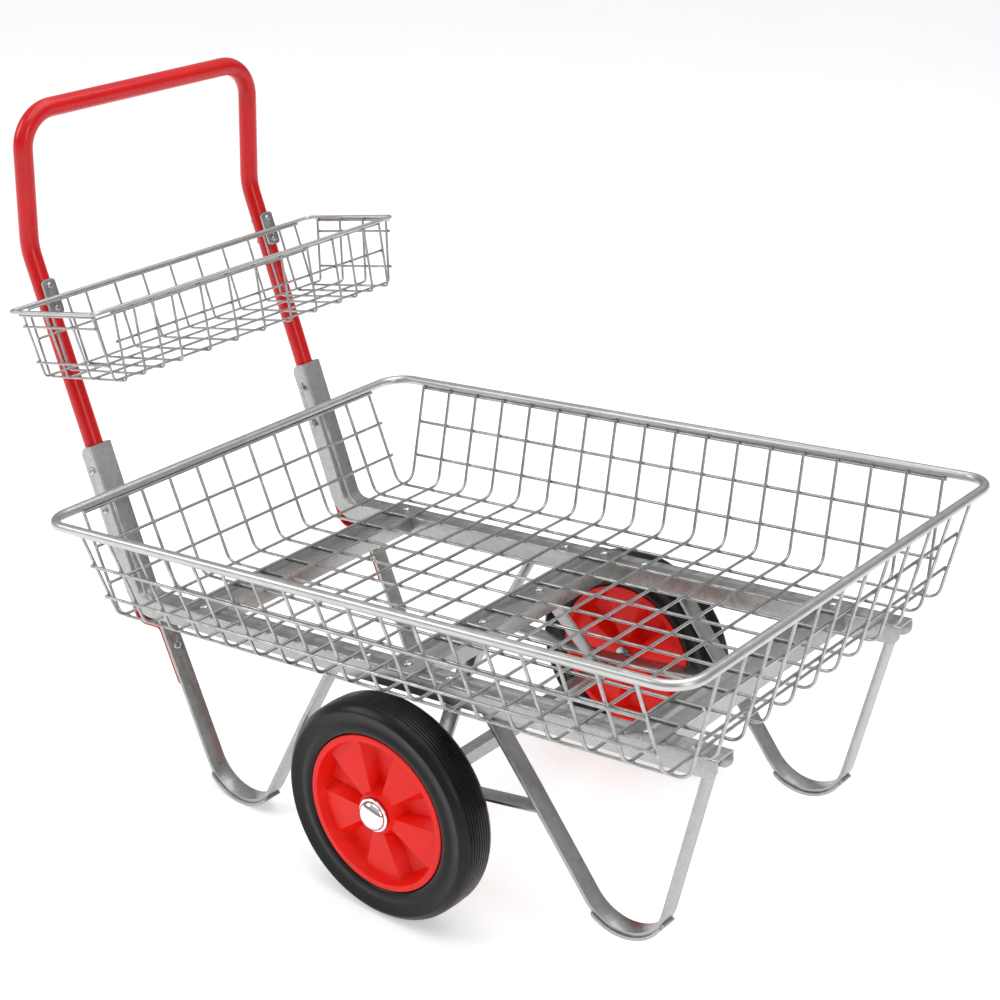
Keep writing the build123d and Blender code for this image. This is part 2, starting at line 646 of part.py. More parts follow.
def hub_cap(sign, y):
    """Domed cap with a flat flange, pushed onto the axle's end."""
    flange_r, flange, dome_r, rise = CAP
    ball = (dome_r ** 2 + (rise - flange) ** 2) / (2 * (rise - flange))
    dome = Pos(0, 0, rise - ball) * Sphere(ball) & Pos(0, 0, rise / 2) * Cylinder(dome_r, rise)
    disc = Pos(0, 0, flange / 2) * Cylinder(flange_r, flange)
    socket = Pos(0, 0, CAP_SOCKET / 2) * Cylinder(AXLE_R, CAP_SOCKET)
    seat = Plane(origin=(0, sign * y, AXLE_Z), z_dir=(0, sign, 0))
    return seat * (dome + disc - socket)


# ---------------------------------------------------------------- wheels

def tyre():
    """Solid rubber ring with shallow tread grooves, about Z, centred on its width."""
    half = TYRE_WIDTH / 2
    shoulder = TYRE_SHOULDER
    crown = TYRE_CROWN
    points = [(HUB_R, -half + 4), (HUB_R + 6, -half + 1), (TYRE_R - shoulder - 8, -half)]
    up = Polyline(*points)
    low = ThreePointArc(points[-1], (TYRE_R - 7.5, -half + 4.2), (TYRE_R - crown, -half + shoulder))
    tread = ThreePointArc((TYRE_R - crown, -half + shoulder), (TYRE_R, 0), (TYRE_R - crown, half - shoulder))
    flip = [(x, -y) for x, y in points]
    high = ThreePointArc((TYRE_R - crown, half - shoulder), (TYRE_R - 7.5, half - 4.2), flip[-1])
    down = Polyline(*flip[::-1], points[0])
    face = make_face(up.edges() + low.edges() + tread.edges() + high.edges() + down.edges())
    for y in GROOVES:
        face -= Pos(TYRE_R, y) * Rectangle(2 * GROOVE[0], GROOVE[1])
    return revolve(Plane.XZ * face, Axis.Z)


def hub():
    """Plastic hub: a barrel, a boss and raised sectors with pockets between them, about Z."""
    half = HUB_WIDTH / 2
    barrel = Cylinder(HUB_R, HUB_WIDTH) - Cylinder(HUB_R - HUB_RING, HUB_WIDTH)
    boss = Cylinder(BOSS_R, HUB_WIDTH)
    web = Cylinder(HUB_R - HUB_RING / 2, HUB_WEB)
    body = barrel + boss + web
    height = HUB_WIDTH - 2 * SECTOR_DEPTH
    reach = HUB_R - HUB_RING / 2
    for i in range(SECTORS):
        outline = [Vector(0, 0)] + [Vector(reach * cos(radians(a)), reach * sin(radians(a)))
                                    for a in (-SECTOR_HALF, 0, SECTOR_HALF)]
        arc = ThreePointArc(outline[1], outline[2], outline[3])
        wedge = make_face([Line(outline[0], outline[1]), arc, Line(outline[3], outline[0])])
        block = extrude(Pos(0, 0, -height / 2) * wedge, height)
        body += Rot(0, 0, 360 / SECTORS * i) * block
    body = chamfer(body.edges().filter_by(GeomType.CIRCLE).filter_by(
        lambda e: abs(e.radius - HUB_R + HUB_RING) < 0.1 and abs(abs(e.center().Z) - half) < 0.1), HUB_CHAMFER)
    return body - Cylinder(BUSH_R, HUB_WIDTH + 2)


def wheels():
    tyre_body = tyre()
    hub_body = hub()
    bush = Cylinder(BUSH_R, BUSH_LENGTH) - Cylinder(AXLE_R + RUNNING, BUSH_LENGTH)
    nodes = {}
    for name, sign in SIDES.items():
        y = TYRE_INSIDE + TYRE_WIDTH / 2
        spot = Plane(origin=(0, sign * y, AXLE_Z), x_dir=(1, 0, 0), z_dir=(0, sign, 0))
        nodes["tyre_" + name] = spot * tyre_body
        nodes["hub_" + name] = spot * Rot(0, 0, -sign * SECTOR_TURN[name]) * hub_body
        ends = [Pos(0, 0, s * (HUB_WIDTH - BUSH_LENGTH) / 2) * bush for s in (1, -1)]
        nodes["hub_bushes_" + name] = group([spot * end for end in ends])
    return nodes


# ---------------------------------------------------------------- assembly

def standing_lean():
    """Angle between the level cart and the ground that touches the wheels and the rear shoes."""
    centre = leg_turn_centre()
    shoe_r = LEG_TURN + BAR / 2 + 0.01 + SHOE
    dx = centre.X
    dz = AXLE_Z - centre.Y
    return degrees(asin((TYRE_R - shoe_r) / hypot(dx, dz)) - atan2(dz, dx))


def level_cart():
    nodes = {}
    nodes.update(main_basket())
    nodes.update(side_channels())
    nodes.update(cross_members())
    nodes.update(legs_and_shoes())
    axle_nodes, beam_top = axle_parts()
    nodes.update(axle_nodes)
    nodes.update(stays(beam_top))
    nodes.update(braces(beam_top))
    nodes.update(handle())
    nodes.update(toes())
    nodes.update(tool_tray())
    nodes.update(tray_plates())
    nodes["frame_bolts"] = frame_bolts()
    nodes["socket_bolts"] = socket_bolts()
    nodes["toe_bolts"] = toe_bolts()
    nodes.update(axle_end_parts())
    nodes.update(wheels())
    return nodes


def place(nodes):
    """Leans the cart back onto the ground and centres its box over the origin."""
    turn = Rot(0, -standing_lean(), 0)
    turned = {name: turn * shape for name, shape in nodes.items()}
    box = Compound(children=[turned[n] for n in ("basket_rim", "handle_tube")]).bounding_box()
    axle = turn * Pos(0, 0, AXLE_Z)
    ground = axle.position.Z - TYRE_R
    shift = Pos(-(box.min.X + box.max.X) / 2, 0, -ground)
    return {name: shift * shape for name, shape in turned.items()}


def main():
    os.makedirs("parts", exist_ok=True)
    for name, shape in place(level_cart()).items():
        solids = shape.solids()
        node = solids[0] if len(solids) == 1 else group(solids)
        export_step(node, f"parts/{name}.step")


main()
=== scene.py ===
import json
import random
from math import atan2, cos, pi, radians, sin, sqrt, tan

import bmesh
import bpy
import numpy as np
from mathutils import Matrix, Vector


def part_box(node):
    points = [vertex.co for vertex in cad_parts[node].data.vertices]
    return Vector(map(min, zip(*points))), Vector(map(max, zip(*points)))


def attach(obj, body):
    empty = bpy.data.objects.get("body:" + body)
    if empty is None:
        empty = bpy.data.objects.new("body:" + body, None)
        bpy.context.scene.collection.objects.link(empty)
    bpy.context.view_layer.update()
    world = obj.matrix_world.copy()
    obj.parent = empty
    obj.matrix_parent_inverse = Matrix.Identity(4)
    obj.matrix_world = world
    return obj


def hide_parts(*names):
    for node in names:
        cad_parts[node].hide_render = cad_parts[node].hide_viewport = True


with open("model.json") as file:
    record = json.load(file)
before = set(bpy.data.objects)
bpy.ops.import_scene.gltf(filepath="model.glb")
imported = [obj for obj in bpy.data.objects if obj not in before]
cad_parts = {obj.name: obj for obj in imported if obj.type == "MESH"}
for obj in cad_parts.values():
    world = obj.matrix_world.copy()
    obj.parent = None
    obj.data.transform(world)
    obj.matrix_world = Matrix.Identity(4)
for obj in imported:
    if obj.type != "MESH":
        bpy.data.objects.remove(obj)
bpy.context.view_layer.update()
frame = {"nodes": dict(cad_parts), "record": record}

NODES = frame["nodes"]
SCENE = bpy.context.scene
MM = 0.001
random.seed(7)


# ---------------------------------------------------------------- the level frame of the cart

def lean_of_the_cart():
    """How far the cart leans back, from the plane of the basket's rim."""
    points = np.array([v.co for v in NODES["basket_rim"].data.vertices])
    normal = np.linalg.svd(points - points.mean(0), full_matrices=False)[2][2]
    normal = normal * np.sign(normal[2])
    return atan2(-normal[0], normal[2])


AXLE_HEIGHT = 109.0
LEAN = Matrix.Rotation(-lean_of_the_cart(), 3, "Y")
AXLE = (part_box("axle")[0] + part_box("axle")[1]) / 2


def turned(x, y, z):
    """A direction of the level cart, in the row frame."""
    return LEAN @ Vector((x, y, z))


def level(x, y, z):
    """A point of the level cart in millimetres, X from the axle and Z from the leg bottoms."""
    return LEAN @ (Vector((x, y, z - AXLE_HEIGHT)) * MM) + AXLE


# ---------------------------------------------------------------- materials

class Look:
    """A node material while it is being built."""

    def __init__(self, name, metallic=0.0, **sockets):
        self.material = bpy.data.materials.new(name)
        self.material.use_nodes = True
        self.tree = self.material.node_tree
        self.shader = self.tree.nodes["Principled BSDF"]
        self.shader.inputs["Metallic"].default_value = metallic
        for socket, value in sockets.items():
            self.shader.inputs[socket.replace("_", " ")].default_value = value
        self.place = self.add("ShaderNodeTexCoord").outputs["Object"]
        self.normal = None

    def add(self, kind, **settings):
        node = self.tree.nodes.new(kind)
        for key, value in settings.items():
            setattr(node, key, value)
        return node

    def feed(self, socket, source):
        self.tree.links.new(source, socket)

    def stretched(self, stretch):
        mapping = self.add("ShaderNodeMapping")
        mapping.inputs["Scale"].default_value = stretch
        self.feed(mapping.inputs["Vector"], self.place)
        return mapping.outputs["Vector"]

    def noise(self, scale, detail=4.0, rough=0.55, stretch=(1, 1, 1), distortion=0.0):
        node = self.add("ShaderNodeTexNoise")
        node.inputs["Scale"].default_value = scale
        node.inputs["Detail"].default_value = detail
        node.inputs["Roughness"].default_value = rough
        node.inputs["Distortion"].default_value = distortion
        self.feed(node.inputs["Vector"], self.stretched(stretch))
        return node.outputs["Fac"]

    def cells(self, scale):
        """Crystal-like cells, each with a value of its own."""
        node = self.add("ShaderNodeTexVoronoi")
        node.inputs["Scale"].default_value = scale
        wobble = self.noise(scale * 0.8, 2.0)
        bent = self.add("ShaderNodeVectorMath", operation="MULTIPLY_ADD")
        self.feed(bent.inputs[0], self.add_vector(wobble))
        bent.inputs[1].default_value = (0.6 / scale,) * 3
        self.feed(bent.inputs[2], self.place)
        self.feed(node.inputs["Vector"], bent.outputs[0])
        grey = self.add("ShaderNodeRGBToBW")
        self.feed(grey.inputs[0], node.outputs["Color"])
        return grey.outputs[0]

    def add_vector(self, value):
        node = self.add("ShaderNodeCombineXYZ")
        for i in range(3):
            self.feed(node.inputs[i], value)
        return node.outputs[0]

    def between(self, value, low, high, start=0.0, end=1.0):
        """Maps a varying value to a range."""
        node = self.add("ShaderNodeMapRange")
        node.inputs["From Min"].default_value = start
        node.inputs["From Max"].default_value = end
        node.inputs["To Min"].default_value = low
        node.inputs["To Max"].default_value = high
        self.feed(node.inputs["Value"], value)
        return node.outputs[0]

    def ramp(self, value, *stops):
        node = self.add("ShaderNodeValToRGB")
        ramp = node.color_ramp
        while len(ramp.elements) < len(stops):
            ramp.elements.new(0.5)
        for element, (at, colour) in zip(ramp.elements, stops):
            element.position = at
            element.color = (*colour, 1.0)
        self.feed(node.inputs["Fac"], value)
        return node.outputs["Color"]

    def blend(self, factor, first, second):
        node = self.add("ShaderNodeMix", data_type="RGBA")
        self.feed(node.inputs["Factor"], factor)
        for socket, colour in zip(("A", "B"), (first, second)):
            target = [i for i in node.inputs if i.name == socket and i.type == "RGBA"][0]
            if isinstance(colour, tuple):
                target.default_value = (*colour, 1.0)
            else:
                self.feed(target, colour)
        return [o for o in node.outputs if o.type == "RGBA"][0]

    def bump(self, height, strength, distance=0.0002):
        node = self.add("ShaderNodeBump")
        node.inputs["Strength"].default_value = strength
        node.inputs["Distance"].default_value = distance
        self.feed(node.inputs["Height"], height)
        if self.normal is not None:
            self.feed(node.inputs["Normal"], self.normal)
        self.normal = node.outputs["Normal"]

    def finish(self, colour, roughness):
        self.feed(self.shader.inputs["Base Color"], colour)
        self.feed(self.shader.inputs["Roughness"], roughness)
        if self.normal is not None:
            self.feed(self.shader.inputs["Normal"], self.normal)
        return self.material


def galvanised_sheet():
    """Bright zinc over rolled steel: faint crystals, roll lines and a few rubbed patches."""
    look = Look("galvanised_sheet", metallic=0.92)
    crystals = look.cells(150)
    drift = look.noise(7, 3.0)
    rolled = look.noise(14, 5.0, stretch=(1, 26, 26))
    rubbed = look.noise(38, 6.0, 0.65, distortion=0.4)
    tone = look.ramp(look.between(crystals, 0.2, 0.8, 0.15, 0.85),
                     (0.0, (0.36, 0.365, 0.355)), (1.0, (0.47, 0.475, 0.46)))
    tone = look.blend(look.between(drift, 0.0, 0.45, 0.4, 0.7), tone, (0.33, 0.34, 0.335))
    tone = look.blend(look.between(rubbed, 0.0, 0.4, 0.62, 0.74), tone, (0.54, 0.545, 0.53))
    rough = look.blend(look.between(rolled, 0.0, 1.0, 0.3, 0.7), (0.24,) * 3, (0.37,) * 3)
    rough = look.blend(look.between(crystals, 0.0, 0.5), rough, (0.44,) * 3)
    look.bump(rolled, 0.12, 0.0001)
    look.bump(look.noise(900, 3.0), 0.10, 0.00008)
    return look.finish(tone, rough)


def zinc_wire():
    """Plated drawn wire with small dull patches."""
    look = Look("zinc_wire", metallic=0.95)
    dull = look.noise(55, 5.0, 0.6)
    fine = look.noise(420, 3.0)
    tone = look.ramp(dull, (0.30, (0.30, 0.305, 0.30)), (0.55, (0.42, 0.425, 0.42)),
                     (0.8, (0.54, 0.545, 0.54)))
    rough = look.between(dull, 0.36, 0.22, 0.3, 0.7)
    look.bump(fine, 0.16, 0.0001)
    return look.finish(tone, rough)


def zinc_tube():
    """The rim's tube: zinc drawn along the tube, lightly brushed."""
    look = Look("zinc_tube", metallic=0.95)
    lines = look.noise(60, 6.0, 0.7, stretch=(1, 1, 9))
    patches = look.noise(11, 4.0)
    tone = look.ramp(lines, (0.25, (0.47, 0.475, 0.46)), (0.75, (0.64, 0.645, 0.63)))
    tone = look.blend(look.between(patches, 0.0, 0.4, 0.45, 0.7), tone, (0.42, 0.425, 0.415))
    rough = look.between(lines, 0.28, 0.42, 0.3, 0.7)
    look.bump(lines, 0.10, 0.0001)
    look.bump(look.noise(700, 2.0), 0.08, 0.00008)
    return look.finish(tone, rough)


def fastener_zinc():
    look = Look("fastener_zinc", metallic=1.0)
    grime = look.noise(240, 5.0, 0.6)
    tone = look.ramp(grime, (0.3, (0.33, 0.34, 0.34)), (0.6, (0.55, 0.56, 0.57)))
    look.bump(grime, 0.12, 0.0001)
    return look.finish(tone, look.between(grime, 0.34, 0.2, 0.3, 0.7))


def red_paint():
    """Gloss stove enamel with a faint orange peel and rubbed, duller patches."""
    look = Look("red_paint", Coat_Weight=0.22, Coat_Roughness=0.06, Specular_IOR_Level=0.3)
    drift = look.noise(9, 4.0)
    specks = look.noise(330, 3.0, 0.7)
    tone = look.ramp(drift, (0.3, (0.50, 0.002, 0.004)), (0.7, (0.62, 0.004, 0.006)))
    tone = look.blend(look.between(specks, 0.0, 0.35, 0.66, 0.76), tone, (0.36, 0.004, 0.006))
    look.bump(look.noise(260, 2.0), 0.10, 0.0001)
    return look.finish(tone, look.between(drift, 0.2, 0.32, 0.35, 0.7))


def red_plastic():
    """Injection moulded plastic: soft sheen, faint flow marks, a fine grain."""
    look = Look("red_plastic", Specular_IOR_Level=0.26)
    flow = look.noise(22, 5.0, 0.6, distortion=1.2)
    grain = look.noise(650, 3.0)
    tone = look.ramp(flow, (0.3, (0.74, 0.006, 0.002)), (0.7, (0.84, 0.011, 0.004)))
    scuffs = look.noise(120, 8.0, 0.75, stretch=(1, 1, 4))
    tone = look.blend(look.between(scuffs, 0.0, 0.3, 0.66, 0.78), tone, (0.90, 0.08, 0.05))
    look.bump(grain, 0.10, 0.0001)
    return look.finish(tone, look.between(flow, 0.32, 0.44, 0.3, 0.7))


def rubber():
    """Solid rubber: satin black with scuffs and a trace of dust."""
    look = Look("rubber", Specular_IOR_Level=0.24)
    dust = look.noise(30, 7.0, 0.65)
    scuff = look.noise(85, 9.0, 0.8, distortion=0.8)
    tone = look.ramp(dust, (0.35, (0.0035, 0.0035, 0.0036)), (0.75, (0.008, 0.008, 0.008)))
    tone = look.blend(look.between(scuff, 0.0, 0.6, 0.68, 0.78), tone, (0.035, 0.035, 0.034))
    rough = look.between(dust, 0.26, 0.42, 0.35, 0.7)
    look.bump(look.noise(500, 4.0), 0.20, 0.00015)
    return look.finish(tone, rough)


def chrome():
    look = Look("chrome", metallic=1.0)
    wipe = look.noise(60, 5.0, 0.6)
    tone = look.ramp(wipe, (0.3, (0.74, 0.75, 0.76)), (0.7, (0.84, 0.85, 0.86)))
    look.bump(look.noise(300, 2.0), 0.04, 0.00005)
    return look.finish(tone, look.between(wipe, 0.05, 0.13, 0.35, 0.7))


def nylon():
    look = Look("nylon", IOR=1.53)
    flow = look.noise(90, 4.0)
    tone = look.ramp(flow, (0.3, (0.70, 0.68, 0.62)), (0.7, (0.80, 0.79, 0.74)))
    look.bump(look.noise(500, 3.0), 0.1, 0.0001)
    return look.finish(tone, look.between(flow, 0.4, 0.55))


def floor_paper():
    look = Look("floor_paper", Emission_Color=(1.0, 1.0, 1.0, 1.0), Emission_Strength=0.40)
    mottle = look.noise(3, 3.0)
    tone = look.ramp(mottle, (0.3, (0.90, 0.90, 0.90)), (0.7, (0.92, 0.92, 0.92)))
    return look.finish(tone, look.between(mottle, 0.85, 0.95))


LOOKS = {
    "galvanised_steel": galvanised_sheet(),
    "zinc_wire": zinc_wire(),
    "zinc_fastener": fastener_zinc(),
    "red_paint": red_paint(),
    "red_plastic": red_plastic(),
    "rubber": rubber(),
    "chrome": chrome(),
    "nylon": nylon(),
}
RIM_LOOK = zinc_tube()


# ---------------------------------------------------------------- making pieces

def add_piece(name, mesh, body, slot, replaced=(), look=None):
    """Links a mesh as a piece that rides on a body."""
    piece = bpy.data.objects.new(name, mesh)
    SCENE.collection.objects.link(piece)
    mesh.materials.clear()
    mesh.materials.append(look or LOOKS[slot])
    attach(piece, body)
    if replaced:
        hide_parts(*replaced)
    return piece


def mesh_from(name, verts, faces, sharp=35):
    mesh = bpy.data.meshes.new(name)
    mesh.from_pydata([tuple(v) for v in verts], [], faces)
    mesh.validate()
    tidy = bmesh.new()
    tidy.from_mesh(mesh)
    bmesh.ops.recalc_face_normals(tidy, faces=tidy.faces)
    tidy.to_mesh(mesh)
    tidy.free()
    smooth(mesh, sharp)
    return mesh


def smooth(mesh, sharp):
    mesh.shade_smooth()
    mesh.set_sharp_from_angle(angle=radians(sharp))


def refined(node, bevel):
    """A CAD solid's shape with its hard edges eased, in place of the node."""
    source = NODES[node]
    mesh = bpy.data.meshes.new(node + "_eased")
    work = bmesh.new()
    work.from_mesh(source.data)
    bmesh.ops.remove_doubles(work, verts=work.verts, dist=2e-6)
    bmesh.ops.dissolve_limit(work, angle_limit=radians(0.6), verts=work.verts, edges=work.edges)
    work.to_mesh(mesh)
    work.free()
    piece = add_piece(node + "_eased", mesh, "frame", slot_of(node), [node])
    mesh.shade_smooth()
    edge = piece.modifiers.new("edges", "BEVEL")
    edge.width = bevel * MM
    edge.segments = 2
    edge.limit_method = "ANGLE"
    edge.angle_limit = radians(32)
    edge.harden_normals = True
    edge.use_clamp_overlap = True
    return piece


def slot_of(node):
    for row in frame["record"]["subparts"]:
        if row["node"] == node:
            return row["material_slot"]


def lathe(profile, segments, centre, out):
    """Points and faces of a closed profile turned about the wheel's axis.

    The profile is (radius, distance along out) in millimetres; out is +1 or -1 along Y.
    """
    count = len(profile)
    verts = []
    faces = []
    for i in range(segments):
        angle = 2 * pi * i / segments
        for radius, offset in profile:
            spot = Vector((radius * cos(angle), out * offset, radius * sin(angle)))
            verts.append(centre + spot * MM)
        for j in range(count):
            a = i * count + j
            b = i * count + (j + 1) % count
            c = ((i + 1) % segments) * count + (j + 1) % count
            d = ((i + 1) % segments) * count + j
            faces.append((a, b, c, d))
    return verts, faces


# ---------------------------------------------------------------- carried-over CAD nodes

for node, piece in NODES.items():
    if node in ("basket_rim", "tray_rim"):
        look = RIM_LOOK
    else:
        look = LOOKS[slot_of(node)]
    for slot in piece.material_slots:
        slot.material = look

EASED = {
    "side_channel_": 0.5, "cross_member_": 0.5, "leg_": 0.9, "shoe_": 0.7, "stay_": 0.7,
    "brace_": 0.7, "axle_beam": 0.4, "tray_plate_": 0.5,
}
for node in sorted(NODES):
    for prefix, bevel in EASED.items():
        if node.startswith(prefix):
            refined(node, bevel)


# ---------------------------------------------------------------- handle

TUBE = 12.5                   # the tube's outside radius
CHANNEL_WALL = 2.5
SLANT = 15.5                  # degrees the sockets and the handle's lower legs lean back
UPPER_LEAN = 7.2              # degrees the handle's upper part leans forward
RAIL_Y = 201.0
SOCKET = (-456.0, 271.0)      # X and Z of the socket's foot, on its front line
HANDLE_BEND_Z = 730.0
HANDLE_TOP = 905.0
LEG_POINT = (430.0, 238.0)    # a point on a front leg's outer strand; the rear legs mirror them
LEG_LEAN = 18.2
LEG_HALF = 2.5                # half of the leg's bar
TOE_HALF = 2.0                # half of the flattened toe's thickness
TOE_UNDER_Z = 232.0           # the toe's level run under the rail
TOE_BOTTOM_Z = 150.0
TOE_END = 6.0                 # length of the toe's rounded end
HANDLE_BENDS = (8.0, 16.0, 60.0, 60.0, 75.0, 48.0)   # from one toe up to the top bar
FLAT_END = 118.0              # where the flat toe starts to open to a tube, along the handle
ROUND_START = 178.0           # and where the tube is round
FLAT_POWER = 5.0              # how square the flat section is; 2 is an ellipse


def handle_axis_x(z):
    behind = (CHANNEL_WALL + TUBE + 0.02) / cos(radians(SLANT))
    return SOCKET[0] - behind - (z - SOCKET[1]) * tan(radians(SLANT))


def arc_path(points, radii, step=5.0):
    """Points along straight runs joined by tangent arcs."""
    path = [Vector(points[0])]
    for before, corner, after, radius in zip(points, points[1:], points[2:], radii):
        before, corner, after = Vector(before), Vector(corner), Vector(after)
        into = (corner - before).normalized()
        out = (after - corner).normalized()
        half_turn = into.angle(out) / 2
        reach = radius * tan(half_turn)
        centre = corner + (out - into).normalized() * (radius / cos(half_turn))
        start = corner - into * reach
        spoke = start - centre
        axis = into.cross(out).normalized()
        steps = max(4, int(2 * half_turn * radius / step))
        for i in range(steps + 1):
            path.append(centre + Matrix.Rotation(2 * half_turn * i / steps, 3, axis) @ spoke)
    path.append(Vector(points[-1]))
    return path


def filled_path(path, step):
    """The same path with long runs divided."""
    out = [path[0]]
    for a, b in zip(path, path[1:]):
        count = max(1, int((b - a).length / step))
        out += [a.lerp(b, (i + 1) / count) for i in range(count)]
    return out


def handle_side_points(sign):
    """Corners of one side in the level frame, from the flattened toe up to the top bar."""
    lean = radians(LEG_LEAN)
    y = sign * RAIL_Y
    behind = (LEG_HALF + TOE_HALF + 0.05) / cos(lean)

    def leg_back_x(z):
        return -(LEG_POINT[0] + (z - LEG_POINT[1]) * tan(lean)) - behind

    bend = (handle_axis_x(HANDLE_BEND_Z), y, HANDLE_BEND_Z)
    rise = HANDLE_TOP - HANDLE_BEND_Z
    top = (bend[0] + rise * tan(radians(UPPER_LEAN)), y, HANDLE_TOP)
    return [
        (leg_back_x(TOE_BOTTOM_Z), y, TOE_BOTTOM_Z),
        (leg_back_x(TOE_UNDER_Z), y, TOE_UNDER_Z),
        (handle_axis_x(TOE_UNDER_Z) - 14.0, y, TOE_UNDER_Z),
        (handle_axis_x(300.0) - 4.0, y, 296.0),
        (handle_axis_x(330.0), y, 330.0),
        bend,
        top,
    ]


def build_handle():
    """One tube from toe to toe; each toe is flattened and opens to the round tube."""
    left = handle_side_points(1)
    right = handle_side_points(-1)[::-1]
    path = filled_path(arc_path(left + right, HANDLE_BENDS + HANDLE_BENDS[::-1]), 8.0)
    lengths = [0.0]
    for a, b in zip(path, path[1:]):
        lengths.append(lengths[-1] + (b - a).length)
    total = lengths[-1]
    round_count = 32
    verts = []
    faces = []
    side = Vector((0, 1, 0))
    heading = (path[1] - path[0]).normalized()
    for i, point in enumerate(path):
        ahead = path[min(i + 1, len(path) - 1)] - path[max(i - 1, 0)]
        ahead.normalize()
        side = heading.rotation_difference(ahead) @ side
        heading = ahead
        normal = ahead.cross(side).normalized()
        reach = min(lengths[i], total - lengths[i])
        share = min(1.0, max(0.0, (reach - FLAT_END) / (ROUND_START - FLAT_END)))
        share = share * share * (3 - 2 * share)
        thick = TOE_HALF + (TUBE - TOE_HALF) * share
        power = FLAT_POWER + (2.0 - FLAT_POWER) * share
        past_end = 1 - min(reach, TOE_END) / TOE_END
        end_round = min(1.0, sqrt(max(0.0, 1 - past_end ** 2)) * 0.35 + 0.65)
        for k in range(round_count):
            angle = 2 * pi * k / round_count
            c, s = cos(angle), sin(angle)
            across = abs(c) ** (2 / power) * (1 if c >= 0 else -1) * (TUBE * end_round)
            up = abs(s) ** (2 / power) * (1 if s >= 0 else -1) * thick
            verts.append(level(*(point + side * across + normal * up)))
        if i:
            for k in range(round_count):
                a = (i - 1) * round_count + k
                b = (i - 1) * round_count + (k + 1) % round_count
                faces.append((a, b, b + round_count, a + round_count))
    faces.append(tuple(range(round_count))[::-1])
    faces.append(tuple((len(path) - 1) * round_count + k for k in range(round_count)))
    mesh = mesh_from("handle_bar", verts, faces, 50)
    add_piece("handle_bar", mesh, "frame", "red_paint",
              ["handle_tube", "handle_toe_left", "handle_toe_right"])


build_handle()


# ---------------------------------------------------------------- wheels

WHEEL_SIDES = {"left": 1, "right": -1}
WASHER_GAP = 2.4              # the washer and its clearance, between hub and cap
HALF_HUB = 25.0


def wheel_centre(side):
    low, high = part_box("tyre_" + side)
    return (low + high) / 2


TYRE_R = 144.0
GROOVES = 8
GROOVE_PITCH = 4.5


def tyre_profile():
    """Section of the tyre, from the outer bead round the tread to the inner bead."""
    flank = [(103.0, 20.5), (103.6, 23.0), (105.2, 25.0), (108.0, 26.4), (111.5, 26.8),
             (115.0, 26.0), (118.0, 25.0), (121.0, 24.9), (125.0, 25.9), (129.5, 27.4),
             (132.4, 28.3), (133.6, 28.5), (134.8, 28.3), (135.8, 27.4), (137.5, 26.0),
             (139.8, 23.9), (141.5, 21.6), (142.6, 19.6), (143.0, 18.4)]
    tread = []
    groove_half = 0.75
    depth = 1.9
    for i in range(GROOVES):
        middle = GROOVE_PITCH * ((GROOVES - 1) / 2 - i)
        crown = TYRE_R - (middle / 30.0) ** 2 * 2.2
        tread += [(crown, middle + groove_half), (crown - 0.25, middle + groove_half - 0.12),
                  (crown - depth, middle + 0.3), (crown - depth, middle - 0.3),
                  (crown - 0.25, middle - groove_half + 0.12), (crown, middle - groove_half)]
    mirrored = [(r, -y) for r, y in flank[::-1]]
    return flank + tread + mirrored


SECTORS = 5
SECTOR_HALF = 18.0            # degrees
WALL_TURN = 8.0               # degrees that a sector's side takes to reach the pocket's floor
SECTOR_DROP = 9.0             # a sector's outer edge below the ring; its inner edge half that
POCKET_DEPTH = 22.0
WALL_SLOPE = 2.6
HUB_R = 102.9
BOSS_R = 25.5
RING_IN = 95.0


def hub_depth(radius, angle):
    """How far the hub's face lies below its rim ring, at an angle from a sector's middle."""
    pitch = 360.0 / SECTORS
    away = abs((angle + pitch / 2) % pitch - pitch / 2)
    sector = SECTOR_DROP / 2 * (1 + (radius - 30.0) / 60.0)
    share = min(1.0, max(0.0, (away - SECTOR_HALF) / WALL_TURN))
    open_depth = sector + (POCKET_DEPTH - sector) * share
    ring_wall = max(0.0, (RING_IN - radius) * WALL_SLOPE)
    boss_wall = max(0.0, (radius - BOSS_R) * WALL_SLOPE)
    return min(open_depth, ring_wall, boss_wall)


def hub_rows():
    """Radii of the hub face's rings of points, closer together at the walls."""
    rows = [11.0, 16.0, 22.0, BOSS_R - 0.6]
    radius = BOSS_R
    while radius < 34.0:
        rows.append(radius)
        radius += 0.7
    while radius < 84.0:
        rows.append(radius)
        radius += 3.0
    while radius < RING_IN:
        rows.append(radius)
        radius += 0.6
    return rows + [RING_IN, RING_IN + 0.5, 98.0, 101.6, 102.5, HUB_R]


def hub_angles():
    """Angles of the points on each ring, with a pair at each sector's edge."""
    pitch = 360.0 / SECTORS
    top = [-SECTOR_HALF + SECTOR_HALF * i / 4 for i in range(9)]
    wall = [SECTOR_HALF + WALL_TURN * i / 6 for i in range(1, 7)]
    gap = pitch - 2 * (SECTOR_HALF + WALL_TURN)
    floor = [SECTOR_HALF + WALL_TURN + gap * i / 6 for i in range(1, 7)]
    back = [pitch - SECTOR_HALF - WALL_TURN + WALL_TURN * i / 6 for i in range(1, 6)]
    edges = [-SECTOR_HALF + 0.5, SECTOR_HALF - 0.5]
    one = sorted(top + wall + floor + back + edges)
    return [a + pitch * i for i in range(SECTORS) for a in one]


